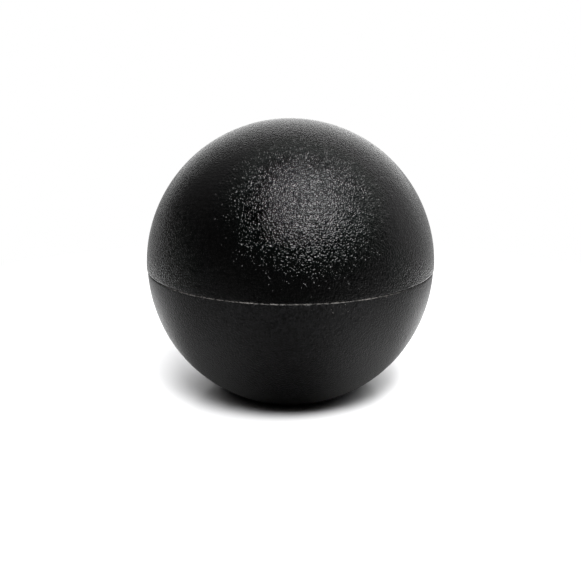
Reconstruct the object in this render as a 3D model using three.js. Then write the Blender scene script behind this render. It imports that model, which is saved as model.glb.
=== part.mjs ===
// Friction ball for opening screwed watch cases: a solid natural rubber ball with a flat foot,
// made from two moulded half balls that are cemented together round the middle.
// Units are millimetres. +Z is up, and the origin is the centre of the foot, where the ball stands.
import * as THREE from "three";

// Driving dimensions
const BALL_RADIUS = 34; // the ball is 68 mm across its middle
const JOINT_HEIGHT = 30.4; // from the foot up to the joint, which is also the ball's centre
const LOWER_UNDERSIZE = 0.2; // the lower half is this much smaller in radius at the joint
const CEMENT_THICKNESS = 0.2; // cured rubber cement between the two halves
const RIM_ROUNDING = 0.3; // each half's edge at the joint, so that the joint shows as a fine groove
const CEMENT_INSET = 0.35; // the squeezed-out cement stops this far inside the ball's surface
const FOOT_ROUNDING = 1.2; // the edge of the foot

// Fineness of the turned surfaces
const SEGMENTS = 72;
const DOME_STEPS = 20;
const EDGE_STEPS = 4;

const halfCement = CEMENT_THICKNESS / 2;
const lowerRadius = BALL_RADIUS - LOWER_UNDERSIZE;

// Points on an arc about [centreRadius, centreHeight], from one angle to another, in degrees from level.
function arc(centreRadius, centreHeight, radius, fromDegrees, toDegrees, steps) {
  const points = [];
  for (let i = 0; i <= steps; i++) {
    const angle = THREE.MathUtils.degToRad(fromDegrees + ((toDegrees - fromDegrees) * i) / steps);
    points.push(
      new THREE.Vector2(centreRadius + radius * Math.cos(angle), centreHeight + radius * Math.sin(angle)),
    );
  }
  return points;
}

const toDegrees = THREE.MathUtils.radToDeg;

// A half ball's profile in its own upright frame: flat joint face, rounded rim, then the dome.
// It stops at the angle where the dome ends, so that a foot can follow.
function halfBallProfile(radius, domeEndsAtDegrees) {
  const roundingHeight = halfCement + RIM_ROUNDING;
  const roundingRadius = Math.sqrt((radius - RIM_ROUNDING) ** 2 - roundingHeight ** 2);
  const domeStartsAt = toDegrees(Math.atan2(roundingHeight, roundingRadius));
  const rim = arc(roundingRadius, roundingHeight, RIM_ROUNDING, -90, domeStartsAt, EDGE_STEPS);
  const dome = arc(0, 0, radius, domeStartsAt, domeEndsAtDegrees, DOME_STEPS).slice(1);
  return [new THREE.Vector2(0, halfCement), ...rim, ...dome];
}

// A profile turned about the upright axis, which LatheGeometry takes as Y, and stood up along Z.
function turned(profile) {
  return new THREE.LatheGeometry(profile, SEGMENTS).rotateX(Math.PI / 2);
}

// The plain half, which is pressed on the case back.
function upperHalf() {
  const profile = halfBallProfile(BALL_RADIUS, 90);
  profile[profile.length - 1].x = 0;
  return turned(profile);
}

// The half with the foot: the same profile hung downwards, cut flat with a rounded edge.
function lowerHalf() {
  const footDepth = JOINT_HEIGHT;
  const edgeHeight = footDepth - FOOT_ROUNDING;
  const edgeRadius = Math.sqrt((lowerRadius - FOOT_ROUNDING) ** 2 - edgeHeight ** 2);
  const domeEndsAt = toDegrees(Math.atan2(edgeHeight, edgeRadius));
  const footEdge = arc(edgeRadius, edgeHeight, FOOT_ROUNDING, domeEndsAt, 90, EDGE_STEPS).slice(1);
  const upright = [
    ...halfBallProfile(lowerRadius, domeEndsAt),
    ...footEdge,
    new THREE.Vector2(0, footDepth),
  ];
  // Hanging it downwards turns the profile inside out, so its order is reversed as well.
  return turned(upright.map((point) => new THREE.Vector2(point.x, -point.y)).reverse());
}

// The cement: a thin disc between the joint faces.
function cementLayer() {
  const radius = lowerRadius - CEMENT_INSET;
  return turned([
    new THREE.Vector2(0, -halfCement),
    new THREE.Vector2(radius, -halfCement),
    new THREE.Vector2(radius, halfCement),
    new THREE.Vector2(0, halfCement),
  ]);
}

const grainedRubber = new THREE.MeshStandardMaterial({ color: 0x1b1b1c, roughness: 0.5, metalness: 0 });
const mattRubber = new THREE.MeshStandardMaterial({ color: 0x1f1f20, roughness: 0.65, metalness: 0 });
const curedCement = new THREE.MeshStandardMaterial({ color: 0x5a5855, roughness: 0.7, metalness: 0 });

const ball = new THREE.Group();

function addPiece(name, geometry, material) {
  const piece = new THREE.Mesh(geometry, material);
  piece.name = name;
  piece.position.z = JOINT_HEIGHT;
  ball.add(piece);
}

addPiece("upper_half", upperHalf(), grainedRubber);
addPiece("lower_half", lowerHalf(), mattRubber);
addPiece("joint_cement", cementLayer(), curedCement);

export default ball;
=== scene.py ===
import math
import random

import bpy
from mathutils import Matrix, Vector


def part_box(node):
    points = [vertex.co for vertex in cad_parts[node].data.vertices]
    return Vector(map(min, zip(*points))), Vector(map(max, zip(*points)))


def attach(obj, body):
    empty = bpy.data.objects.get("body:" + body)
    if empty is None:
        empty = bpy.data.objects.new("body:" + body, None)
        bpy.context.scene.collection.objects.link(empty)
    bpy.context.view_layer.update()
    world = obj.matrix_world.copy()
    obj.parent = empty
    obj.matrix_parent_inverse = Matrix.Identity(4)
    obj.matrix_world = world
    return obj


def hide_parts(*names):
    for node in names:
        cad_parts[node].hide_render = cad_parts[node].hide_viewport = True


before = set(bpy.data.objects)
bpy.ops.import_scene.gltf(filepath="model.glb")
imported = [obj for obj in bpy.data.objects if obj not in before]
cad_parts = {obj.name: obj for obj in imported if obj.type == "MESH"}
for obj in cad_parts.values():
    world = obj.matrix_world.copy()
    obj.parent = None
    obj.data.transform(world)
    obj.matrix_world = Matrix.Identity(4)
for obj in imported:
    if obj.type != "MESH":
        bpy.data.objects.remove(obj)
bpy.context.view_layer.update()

MM = 0.001
WELD = 0.0002 * MM  # corners closer than this are one

# Sizes of the ball, from the frame
upper_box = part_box("upper_half")
lower_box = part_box("lower_half")
CEMENT_TOP = upper_box[0].z
CEMENT_UNDERSIDE = lower_box[1].z
JOINT_HEIGHT = (CEMENT_TOP + CEMENT_UNDERSIDE) / 2
UPPER_RADIUS = upper_box[1].z - JOINT_HEIGHT
LOWER_UNDERSIZE = 0.2 * MM
LOWER_RADIUS = UPPER_RADIUS - LOWER_UNDERSIZE
JOINT_CENTRE = Vector((0, 0, JOINT_HEIGHT))

# Edges
RIM_ROUNDING = 0.3 * MM
FOOT_ROUNDING = 1.2 * MM
RIM_STEPS = 6
FOOT_STEPS = 10
DOME_FINENESS = 8  # gives a corner about every 0.28 mm, so that the coarser grain is real relief
SHARP_ANGLE = math.radians(40)  # a fold over this stays crisp

# Soft relief: the size of its features and its height
UPPER_RELIEF = {"upper_pebbles": (0.7 * MM, 0.02 * MM), "upper_shrinkage": (11 * MM, 0.06 * MM)}
LOWER_RELIEF = {"lower_pebbles": (0.9 * MM, 0.03 * MM), "lower_shrinkage": (13 * MM, 0.05 * MM)}
CEMENT_RELIEF = {"cement_tears": (0.45 * MM, 0.14 * MM), "cement_gaps": (2.6 * MM, 0.16 * MM)}
SKIN_OVERLAP = 0.1 * MM  # the skins' relief runs this far onto the rims
TRUE_FOOT = 0.5 * MM  # the lower half has no relief below this height
TRUE_LAYER = 0.05 * MM  # nor has the cement, from the flat layer to this far outside it

# The cement that shows in the groove
CEMENT_REACH = 0.34 * MM  # from the bead's outer edge in to where the flat layer begins
BEAD_RADIUS = 0.12 * MM
BEAD_INSET = 0.1 * MM  # the bead's middle is this far inside the lower half's surface
BEAD_DROP = 0.13 * MM  # the bead clings to the lower half's rim
BEAD_STEPS = 8
BEAD_CORNERS = 1440
HIGHLIT_SIDE = Vector((-0.14, -0.99, 0))  # the side painted pale, a painted highlight on the side facing the camera

# Crumbs of cement that the trimming left on the lower half: bearing, spread, drop and number
CRUMB_PATCHES = ((18, 2.8, 1.5 * MM, 11), (36, 0.7, 0.4 * MM, 3))
CRUMB_SIZES = (0.04 * MM, 0.11 * MM)
CRUMB_DROPS = (0.4, 1.6)  # how far below the joint, as a share of the patch's drop
CRUMB_LENGTHS = (0.7, 1.5)
CRUMB_THICKNESS = 0.5
CRUMB_SEED = 11

# Light that the gloss mirrors: bearing, cosine where the glow starts, and strength
BACKDROP_GLOWS = (((0, 1, 0), 0.8, 1.0), ((1, 1, 0.1), 0.3, 0.35), ((0, 1, 1), 0.3, 0.15))
FLOOR_GLOWS = (
    ((0, 1, 0), -0.2, 3.0),
    ((1, 0, 0), 0.1, 0.65),
    ((-1, 0, 0), 0.1, 0.32),
    ((0, -1, 0), -0.2, 0.06),
)
FLOOR_GLOW_FADES = (60 * MM, 140 * MM, 0.17)  # where its fading starts and ends, and what is left
CONTACT_SHADE = (15 * MM, 38 * MM)  # the ball's own shade in the floor's glow ends over this stretch

# The floor and the light on it
FLOOR_WIDTH = 6
WHITENING = (70 * MM, 170 * MM)  # shaded by the ball up to here, and plain white from there on
OVERHEAD_FILL = (0.6, 0.97, 2.7)  # cosine where it starts, cosine where it is full, and strength

# Soft lights: name, bearing (0 is the camera's side, 90 is +X), elevation, distance, size and watts
PANELS = (
    ("softbox", 18, 56, 0.45, (0.16, 0.14), 1.4),
    ("side_softbox", 42, 57, 0.45, (0.26, 0.22), 0.45),
    ("ceiling", 160, 78, 0.8, (1.0, 0.8), 0.5),
    ("floor_key", 3, 52, 0.5, (0.2, 0.14), 2.1),
    ("floor_back", 180, 45, 0.5, (0.4, 0.3), 1.0),
    ("floor_side", 90, 45, 0.5, (0.4, 0.3), 0.5),
)
UNMIRRORED = {"floor_key", "floor_back", "floor_side"}  # these don't show in the gloss

# Camera
CAMERA_ELEVATION = math.radians(13.8)
CAMERA_DISTANCE = 175 * MM
CAMERA_SENSOR = 36
CAMERA_LENS = 44.97
CAMERA_DIP = math.radians(2.165)  # the camera looks this much below the ball's middle


# Making pieces -----------------------------------------------------------------------------------


def start_piece(name):
    """Names the primitive that was just added and opens it for editing."""
    piece = bpy.context.active_object
    piece.name = name
    bpy.ops.object.transform_apply(location=True, rotation=True, scale=True)
    bpy.ops.object.mode_set(mode="EDIT")
    bpy.ops.mesh.select_mode(type="VERT")
    return piece


def add_ball(name, radius):
    bpy.ops.object.select_all(action="DESELECT")
    bpy.ops.mesh.primitive_ico_sphere_add(
        subdivisions=DOME_FINENESS, radius=radius, location=JOINT_CENTRE
    )
    return start_piece(name)


def cut_away(height, keep_above):
    """Cuts the piece level and leaves the cut's edge selected."""
    bpy.ops.mesh.select_all(action="SELECT")
    bpy.ops.mesh.bisect(
        plane_co=(0, 0, height),
        plane_no=(0, 0, 1),
        clear_inner=keep_above,
        clear_outer=not keep_above,
        threshold=WELD,
    )


def grow_ring(now, target):
    """Extrudes the selected level ring from (radius, height) now to target."""
    bpy.ops.mesh.extrude_edges_move(
        TRANSFORM_OT_translate={"value": (0, 0, target[1] - now[1])}
    )
    scale = target[0] / now[0]
    bpy.ops.transform.resize(value=(scale, scale, 1), center_override=(0, 0, target[1]))
    return target


def grow_arc(centre, radius, from_degrees, to_degrees, steps, now):
    """Extrudes the selected ring along an arc of the piece's section."""
    for step in range(1, steps + 1):
        angle = math.radians(from_degrees + (to_degrees - from_degrees) * step / steps)
        target = (
            centre[0] + radius * math.cos(angle),
            centre[1] + radius * math.sin(angle),
        )
        now = grow_ring(now, target)
    return now


def close_face(now, rings):
    """Closes the selected level ring with rings of quads round a centre point."""
    for ring in range(rings, 0, -1):
        now = grow_ring(now, (now[0] * ring / (ring + 1), now[1]))
    bpy.ops.mesh.extrude_edges_move(TRANSFORM_OT_translate={"value": (0, 0, 0)})
    bpy.ops.mesh.merge(type="CENTER")


def finish_editing(piece):
    bpy.ops.mesh.select_all(action="SELECT")
    bpy.ops.mesh.remove_doubles(threshold=WELD)
    bpy.ops.mesh.normals_make_consistent(inside=False)
    bpy.ops.object.mode_set(mode="OBJECT")
    bpy.ops.object.shade_smooth_by_angle(angle=SHARP_ANGLE)
    return piece


def mark_skin(piece, belongs):
    """Groups the corners for which belongs(place) is true, so that relief is raised there only."""
    group = piece.vertex_groups.new(name="skin")
    group.add([v.index for v in piece.data.vertices if belongs(v.co)], 1.0, "REPLACE")


def raise_relief(piece, reliefs):
    """Displaces the piece's skin in and out by soft noises."""
    for name, (size, height) in reliefs.items():
        texture = bpy.data.textures.new(name, "CLOUDS")
        texture.noise_basis = "IMPROVED_PERLIN"
        texture.noise_scale = size
        texture.noise_depth = 0
        relief = piece.modifiers.new(name, "DISPLACE")
        relief.texture = texture
        relief.texture_coords = "LOCAL"
        relief.strength = height
        relief.mid_level = 0.5
        relief.vertex_group = "skin"
        bpy.context.view_layer.objects.active = piece
        bpy.ops.object.modifier_apply(modifier=name)


def make_upper_half():
    """The upper half ball: a dome, a rounded rim and the flat joint face."""
    piece = add_ball("upper_skin", UPPER_RADIUS)
    rim_height = CEMENT_TOP + RIM_ROUNDING
    rim_radius = math.sqrt(UPPER_RADIUS**2 - (rim_height - JOINT_HEIGHT) ** 2)
    cut_away(rim_height, keep_above=True)
    centre = (rim_radius - RIM_ROUNDING, rim_height)
    now = grow_arc(centre, RIM_ROUNDING, 0, -90, RIM_STEPS, (rim_radius, rim_height))
    close_face(now, 1)
    finish_editing(piece)
    mark_skin(piece, lambda place: place.z > rim_height - SKIN_OVERLAP)
    raise_relief(piece, UPPER_RELIEF)
    return piece


def make_lower_half():
    """The lower half ball: a dome down to the foot, a rounded rim and two flat faces."""
    piece = add_ball("lower_skin", LOWER_RADIUS)
    rim_height = CEMENT_UNDERSIDE - RIM_ROUNDING
    rim_radius = math.sqrt(LOWER_RADIUS**2 - (JOINT_HEIGHT - rim_height) ** 2)
    cut_away(rim_height, keep_above=False)
    centre = (rim_radius - RIM_ROUNDING, rim_height)
    now = grow_arc(centre, RIM_ROUNDING, 0, 90, RIM_STEPS, (rim_radius, rim_height))
    close_face(now, 1)

    # The foot's rounding touches the dome inside and the ground.
    inner = LOWER_RADIUS - FOOT_ROUNDING
    drop = JOINT_HEIGHT - FOOT_ROUNDING
    foot_radius = math.sqrt(inner**2 - drop**2)
    slope = -math.degrees(math.atan2(drop, foot_radius))
    edge_radius = LOWER_RADIUS * math.cos(math.radians(slope))
    edge_height = JOINT_HEIGHT + LOWER_RADIUS * math.sin(math.radians(slope))
    cut_away(edge_height, keep_above=True)
    now = grow_arc(
        (foot_radius, FOOT_ROUNDING), FOOT_ROUNDING, slope, -90, FOOT_STEPS, (edge_radius, edge_height)
    )
    close_face(now, 3)
    finish_editing(piece)
    mark_skin(piece, lambda place: TRUE_FOOT < place.z < rim_height + SKIN_OVERLAP)
    raise_relief(piece, LOWER_RELIEF)
    return piece


def make_cement():
    """The cement: a thin flat layer, and a ragged bead where it was squeezed into the groove."""
    bead_centre = (LOWER_RADIUS - BEAD_INSET, JOINT_HEIGHT - BEAD_DROP)
    layer_radius = LOWER_RADIUS - CEMENT_REACH
    bpy.ops.object.select_all(action="DESELECT")
    bpy.ops.mesh.primitive_circle_add(
        vertices=BEAD_CORNERS, radius=layer_radius, fill_type="NOTHING", location=(0, 0, CEMENT_TOP)
    )
    piece = start_piece("cement_line")
    bpy.ops.mesh.select_all(action="SELECT")
    now = (layer_radius, CEMENT_TOP)
    now = grow_arc(bead_centre, BEAD_RADIUS, 100, -100, BEAD_STEPS, now)
    now = grow_ring(now, (layer_radius, CEMENT_UNDERSIDE))
    close_face(now, 1)
    bpy.ops.mesh.select_all(action="DESELECT")
    bpy.ops.mesh.select_non_manifold()
    close_face((layer_radius, CEMENT_TOP), 1)
    finish_editing(piece)
    mark_skin(piece, lambda place: math.hypot(place.x, place.y) > layer_radius + TRUE_LAYER)
    raise_relief(piece, CEMENT_RELIEF)
    return piece


def add_crumbs(piece):
    """Scatters flattened crumbs on the lower half below the joint, and joins them to the cement."""
    chance = random.Random(CRUMB_SEED)
    crumbs = []
    for bearing, spread, drop, number in CRUMB_PATCHES:
        for _ in range(number):
            turn = math.radians(chance.gauss(bearing, spread))
            below = drop * chance.uniform(*CRUMB_DROPS)
            tilt = math.asin(below / LOWER_RADIUS)
            outward = Vector(
                (math.sin(turn) * math.cos(tilt), -math.cos(turn) * math.cos(tilt), -math.sin(tilt))
            )
            size = chance.uniform(*CRUMB_SIZES)
            bpy.ops.object.select_all(action="DESELECT")
            bpy.ops.mesh.primitive_ico_sphere_add(
                subdivisions=2,
                radius=size,
                location=JOINT_CENTRE + outward * LOWER_RADIUS,
                rotation=outward.to_track_quat("Z", "Y").to_euler(),
                scale=(chance.uniform(*CRUMB_LENGTHS), 1, CRUMB_THICKNESS),
            )
            bpy.ops.object.transform_apply(location=True, rotation=True, scale=True)
            crumbs.append(bpy.context.active_object)
    for crumb in crumbs:
        crumb.select_set(True)
    piece.select_set(True)
    bpy.context.view_layer.objects.active = piece
    bpy.ops.object.join()


# Materials ---------------------------------------------------------------------------------------


def linear(colour):
    """An sRGB hex colour as linear values with alpha."""
    channels = [int(colour[i : i + 2], 16) / 255 for i in (1, 3, 5)]
    return [c / 12.92 if c <= 0.04045 else ((c + 0.055) / 1.055) ** 2.4 for c in channels] + [1.0]


def add(tree, kind, inputs=None, **settings):
    """Adds a node, with its settings, and with each input set to a value or linked to a socket."""
    node = tree.nodes.new(kind)
    for name, value in settings.items():
        setattr(node, name, value)
    for socket, value in (inputs or {}).items():
        if isinstance(value, bpy.types.NodeSocket):
            tree.links.new(value, node.inputs[socket])
        else:
            node.inputs[socket].default_value = value
    return node


def start_material(name):
    material = bpy.data.materials.new(name)
    material.use_nodes = True
    material.node_tree.nodes.clear()
    return material, material.node_tree


def per_metre(pitch):
    """A texture's scale for features that are pitch apart, on coordinates in metres."""
    return 1 / pitch


def moulded_natural_rubber_grained():
    """Natural rubber with carbon black, from a spark-eroded mould: pebbles that glint in the light."""
    material, tree = start_material("moulded_natural_rubber_grained")
    place = add(tree, "ShaderNodeTexCoord").outputs["Object"]
    pebbles = add(
        tree,
        "ShaderNodeTexNoise",
        {"Vector": place, "Scale": per_metre(0.3 * MM), "Detail": 0.6, "Roughness": 0.35},
    )
    pits = add(
        tree,
        "ShaderNodeTexNoise",
        {"Vector": place, "Scale": per_metre(0.2 * MM), "Detail": 1.0, "Roughness": 0.5},
    )
    handling = add(
        tree,
        "ShaderNodeTexNoise",
        {"Vector": place, "Scale": per_metre(14 * MM), "Detail": 3.0, "Roughness": 0.6},
    )
    shine = add(
        tree,
        "ShaderNodeMapRange",
        {"Value": handling.outputs["Fac"], "From Min": 0.3, "From Max": 0.7, "To Min": 0.07, "To Max": 0.11},
    )
    coarse = add(
        tree, "ShaderNodeBump", {"Height": pebbles.outputs["Fac"], "Distance": 0.2 * MM, "Strength": 1.0}
    )
    fine = add(
        tree,
        "ShaderNodeBump",
        {
            "Height": pits.outputs["Fac"],
            "Distance": 0.012 * MM,
            "Strength": 1.0,
            "Normal": coarse.outputs["Normal"],
        },
    )
    surface = add(
        tree,
        "ShaderNodeBsdfPrincipled",
        {
            "Base Color": linear("#030303"),
            "Roughness": shine.outputs["Result"],
            "IOR": 1.52,
            "Normal": fine.outputs["Normal"],
        },
    )
    add(tree, "ShaderNodeOutputMaterial", {"Surface": surface.outputs["BSDF"]})
    return material


def moulded_natural_rubber_matt():
    """The same rubber from a finer blasted mould: even and dull, with only the finest tooth."""
    material, tree = start_material("moulded_natural_rubber_matt")
    place = add(tree, "ShaderNodeTexCoord").outputs["Object"]
    tooth = add(
        tree,
        "ShaderNodeTexNoise",
        # Drawn coarser than the real tooth of under 0.1 mm, so that it shows
        {"Vector": place, "Scale": per_metre(0.36 * MM), "Detail": 1.0, "Roughness": 0.5},
    )
    bloom = add(
        tree,
        "ShaderNodeTexNoise",
        {"Vector": place, "Scale": per_metre(0.5 * MM), "Detail": 2.0, "Roughness": 0.6},
    )
    spread = add(
        tree, "ShaderNodeMapRange", {"Value": bloom.outputs["Fac"], "From Min": 0.35, "From Max": 0.65}
    )
    tone = add(
        tree,
        "ShaderNodeMix",
        {"Factor": spread.outputs["Result"], "A": linear("#010101"), "B": linear("#131314")},
        data_type="RGBA",
    )
    bump = add(
        tree, "ShaderNodeBump", {"Height": tooth.outputs["Fac"], "Distance": 0.2 * MM, "Strength": 1.0}
    )
    surface = add(
        tree,
        "ShaderNodeBsdfPrincipled",
        {
            "Base Color": tone.outputs["Result"],
            "Roughness": 0.36,
            "IOR": 1.52,
            "Normal": bump.outputs["Normal"],
        },
    )
    add(tree, "ShaderNodeOutputMaterial", {"Surface": surface.outputs["BSDF"]})
    return material


def cured_rubber_cement():
    """Dried rubber cement, cut back with a blade: paler than the rubber, dull and torn, with a painted
    highlight that makes it paler still on the side facing the camera.
    """
    material, tree = start_material("cured_rubber_cement")
    place = add(tree, "ShaderNodeTexCoord").outputs["Object"]
    torn = add(
        tree,
        "ShaderNodeTexNoise",
        {"Vector": place, "Scale": per_metre(0.6 * MM), "Detail": 2.0, "Roughness": 0.6},
    )
    patches = add(
        tree, "ShaderNodeMapRange", {"Value": torn.outputs["Fac"], "From Min": 0.36, "From Max": 0.64}
    )
    towards = add(tree, "ShaderNodeVectorMath", {0: place, 1: HIGHLIT_SIDE}, operation="DOT_PRODUCT")
    # painted highlight: the cement is made paler towards the side facing the camera, and darker away from it
    front_highlight = add(
        tree,
        "ShaderNodeMapRange",
        {
            "Value": towards.outputs["Value"],
            "From Min": 20 * MM,
            "From Max": 27 * MM,
            "To Min": 0.15,
            "To Max": 1.0,
        },
    )
    # the cement's own pale torn patches, times the painted highlight
    pale_and_highlit = add(
        tree,
        "ShaderNodeMath",
        {0: patches.outputs["Result"], 1: front_highlight.outputs["Result"]},
        operation="MULTIPLY",
    )
    tone = add(
        tree,
        "ShaderNodeMix",
        {"Factor": pale_and_highlit.outputs["Value"], "A": linear("#1b1b1a"), "B": linear("#6e6b68")},
        data_type="RGBA",
    )
    surface = add(
        tree,
        "ShaderNodeBsdfPrincipled",
        {"Base Color": tone.outputs["Result"], "Roughness": 0.7, "IOR": 1.5},
    )
    add(tree, "ShaderNodeOutputMaterial", {"Surface": surface.outputs["BSDF"]})
    return material


def paint(piece, material):
    piece.data.materials.clear()
    piece.data.materials.append(material)


# Studio ------------------------------------------------------------------------------------------


def make_camera():
    camera = bpy.data.objects.new("camera", bpy.data.cameras.new("camera"))
    camera.data.sensor_width = CAMERA_SENSOR
    camera.data.lens = CAMERA_LENS
    camera.data.clip_start = 1 * MM
    camera.location = JOINT_CENTRE + CAMERA_DISTANCE * Vector(
        (0, -math.cos(CAMERA_ELEVATION), math.sin(CAMERA_ELEVATION))
    )
    camera.rotation_euler = (math.pi / 2 - CAMERA_ELEVATION - CAMERA_DIP, 0, 0)
    bpy.context.scene.collection.objects.link(camera)
    bpy.context.scene.camera = camera


def sum_of_glows(tree, facing, glows):
    """The strength of the light in a direction: each glow rises smoothly towards its bearing."""
    total = None
    for bearing, starts, strength in glows:
        towards = add(
            tree,
            "ShaderNodeVectorMath",
            {0: facing, 1: Vector(bearing).normalized()},
            operation="DOT_PRODUCT",
        )
        glow = add(
            tree,
            "ShaderNodeMapRange",
            {"Value": towards.outputs["Value"], "From Min": starts, "To Max": strength},
            interpolation_type="SMOOTHSTEP",
        ).outputs["Result"]
        if total:
            glow = add(tree, "ShaderNodeMath", {0: total, 1: glow}, operation="ADD").outputs[0]
        total = glow
    return total


def make_floor():
    """White acrylic: shaded by the ball near it, plain white further off, and graded in the gloss."""
    bpy.ops.object.select_all(action="DESELECT")
    bpy.ops.mesh.primitive_plane_add(size=FLOOR_WIDTH)
    floor = bpy.context.active_object
    floor.name = "floor"
    material, tree = start_material("white_studio_acrylic")
    place = add(tree, "ShaderNodeTexCoord").outputs["Object"]
    away = add(tree, "ShaderNodeVectorMath", {0: place}, operation="LENGTH").outputs["Value"]
    facing = add(tree, "ShaderNodeVectorMath", {0: place}, operation="NORMALIZE").outputs["Vector"]
    near = add(
        tree,
        "ShaderNodeBsdfPrincipled",
        {"Base Color": linear("#eeeeef"), "Roughness": 0.18, "IOR": 1.5},
    )
    far = add(tree, "ShaderNodeEmission", {"Color": linear("#ffffff"), "Strength": 1.0})
    whitening = add(
        tree,
        "ShaderNodeMapRange",
        {"Value": away, "From Min": WHITENING[0], "From Max": WHITENING[1]},
    )
    seen = add(
        tree,
        "ShaderNodeMixShader",
        {0: whitening.outputs["Result"], 1: near.outputs[0], 2: far.outputs[0]},
    )
    contact = add(
        tree,
        "ShaderNodeMapRange",
        {"Value": away, "From Min": CONTACT_SHADE[0], "From Max": CONTACT_SHADE[1]},
    )
    starts, ends, left = FLOOR_GLOW_FADES
    fade = add(
        tree,
        "ShaderNodeMapRange",
        {"Value": away, "From Min": starts, "From Max": ends, "To Min": 1.0, "To Max": left},
    )
    glow = sum_of_glows(tree, facing, FLOOR_GLOWS)
    for factor in (contact, fade):
        glow = add(
            tree,
            "ShaderNodeMath",
            {0: glow, 1: factor.outputs["Result"]},
            operation="MULTIPLY",
        ).outputs[0]
    mirrored = add(tree, "ShaderNodeEmission", {"Color": linear("#ffffff"), "Strength": glow})
    path = add(tree, "ShaderNodeLightPath")
    both = add(
        tree,
        "ShaderNodeMixShader",
        {0: path.outputs["Is Glossy Ray"], 1: seen.outputs[0], 2: mirrored.outputs[0]},
    )
    add(tree, "ShaderNodeOutputMaterial", {"Surface": both.outputs[0]})
    paint(floor, material)


def add_panel(name, azimuth, elevation, distance, size, power):
    """A soft light that faces the ball, from a bearing and an elevation in degrees."""
    light = bpy.data.objects.new(name, bpy.data.lights.new(name, "AREA"))
    light.data.shape = "RECTANGLE"
    light.data.size = size[0]
    light.data.size_y = size[1]
    light.data.energy = power
    turn = math.radians(azimuth)
    tilt = math.radians(elevation)
    bearing = Vector(
        (math.sin(turn) * math.cos(tilt), -math.cos(turn) * math.cos(tilt), math.sin(tilt))
    )
    light.location = JOINT_CENTRE + distance * bearing
    light.rotation_euler = bearing.to_track_quat("Z", "Y").to_euler()
    light.visible_camera = False
    light.visible_glossy = name not in UNMIRRORED
    bpy.context.scene.collection.objects.link(light)


def make_world():
    """White for the eye, a soft overhead fill for matt surfaces, and glows for what gloss mirrors."""
    world = bpy.data.worlds.new("studio")
    bpy.context.scene.world = world
    world.use_nodes = True
    world.cycles.sampling_method = "NONE"  # sampling the world as a lamp would mix up its parts
    tree = world.node_tree
    tree.nodes.clear()
    facing = add(tree, "ShaderNodeTexCoord").outputs["Generated"]
    glow = sum_of_glows(tree, facing, BACKDROP_GLOWS)
    white = add(tree, "ShaderNodeBackground", {"Color": linear("#ffffff"), "Strength": 1.0})
    height = add(tree, "ShaderNodeSeparateXYZ", {"Vector": facing}).outputs["Z"]
    starts, full, strength = OVERHEAD_FILL
    overhead = add(
        tree,
        "ShaderNodeMapRange",
        {"Value": height, "From Min": starts, "From Max": full, "To Max": strength},
    ).outputs["Result"]
    fill = add(tree, "ShaderNodeBackground", {"Color": linear("#ffffff"), "Strength": overhead})
    backdrop = add(tree, "ShaderNodeBackground", {"Color": linear("#ffffff"), "Strength": glow})
    path = add(tree, "ShaderNodeLightPath")
    lighting = add(
        tree,
        "ShaderNodeMixShader",
        {0: path.outputs["Is Glossy Ray"], 1: fill.outputs[0], 2: backdrop.outputs[0]},
    )
    both = add(
        tree,
        "ShaderNodeMixShader",
        {0: path.outputs["Is Camera Ray"], 1: lighting.outputs[0], 2: white.outputs[0]},
    )
    add(tree, "ShaderNodeOutputWorld", {"Surface": both.outputs[0]})


def make_studio():
    make_floor()
    make_world()
    for panel in PANELS:
        add_panel(*panel)
    bpy.context.scene.view_settings.view_transform = "Standard"
    bpy.context.scene.cycles.denoising_prefilter = "NONE"  # keeps the fine grain


make_camera()

upper_skin = make_upper_half()
lower_skin = make_lower_half()
cement_line = make_cement()
add_crumbs(cement_line)

paint(upper_skin, moulded_natural_rubber_grained())
paint(lower_skin, moulded_natural_rubber_matt())
paint(cement_line, cured_rubber_cement())

for piece, node, slot in (
    (upper_skin, "upper_half", "grained_rubber"),
    (lower_skin, "lower_half", "matt_rubber"),
    (cement_line, "joint_cement", "cured_cement"),
):
    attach(piece, "root")
    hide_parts(node)

make_studio()
